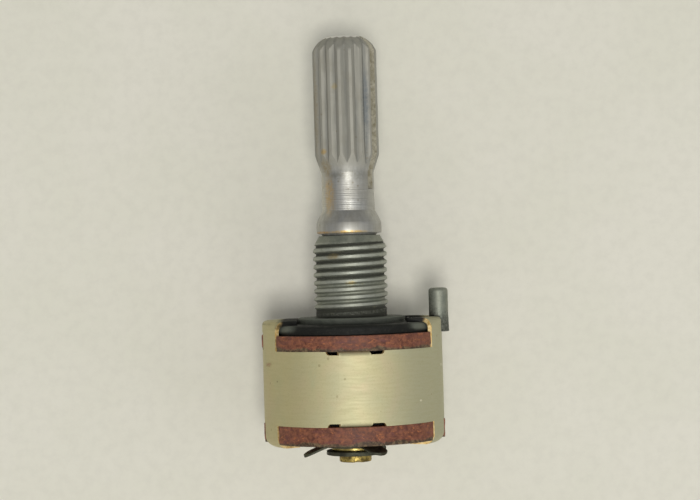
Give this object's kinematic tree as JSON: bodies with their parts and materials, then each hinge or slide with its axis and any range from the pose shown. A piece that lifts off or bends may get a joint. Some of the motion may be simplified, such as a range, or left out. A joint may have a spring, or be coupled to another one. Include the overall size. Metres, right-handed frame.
{
  "type": "rotary potentiometer",
  "caption": "Dual-gang rotary potentiometer with a threaded bushing, a locating pin, a split knurled shaft that turns, and two rows of solder lugs.",
  "frame": {"origin": "centre of the mounting face on the shaft's axis", "axes": "+Y along the shaft towards its tip, +X towards the locating pin, solder lugs towards -Z"},
  "size_m": [0.0176, 0.0398, 0.0217],
  "materials": {
    "zinc": "dull grey zinc casting, stained",
    "plated_steel": "yellow chromate, satin",
    "phenolic": "red-brown laminate",
    "carbon": "matt carbon film",
    "silver": "printed silver film",
    "tinned": "tinned brass",
    "brass": "tarnished brass",
    "dark_steel": "dark oiled spring steel",
    "aluminium": "worn and stained aluminium",
    "rotor_plastic": "dark brown moulding",
    "bronze": "phosphor bronze spring"
  },
  "bodies": {
    "housing": {"mounting_plate": "zinc", "cover": "plated_steel", "front_board": "phenolic", "rear_board": "phenolic", "front_track": "carbon", "rear_track": "carbon", "front_collector_ring": "silver", "rear_collector_ring": "silver", "front_leads": "silver", "rear_leads": "silver", "front_terminal_1": "tinned", "front_terminal_2": "tinned", "front_terminal_3": "tinned", "rear_terminal_1": "tinned", "rear_terminal_2": "tinned", "rear_terminal_3": "tinned", "front_rivet_1": "tinned", "front_rivet_2": "tinned", "front_rivet_3": "tinned", "rear_rivet_1": "tinned", "rear_rivet_2": "tinned", "rear_rivet_3": "tinned", "rear_bush": "brass", "spring_washer": "dark_steel"},
    "shaft": {"knob_shaft": "aluminium", "drive_spindle": "brass", "front_rotor": "rotor_plastic", "rear_rotor": "rotor_plastic", "rotor_spacer": "rotor_plastic", "front_wiper": "bronze", "rear_wiper": "bronze", "retaining_ring": "dark_steel"}
  },
  "joints": [
    {"name": "shaft_turn", "type": "hinge", "parent": "housing", "child": "shaft", "pos_m": [0, 0, 0], "axis": [0, 1, 0], "range_deg": [-150, 150]}
  ]
}
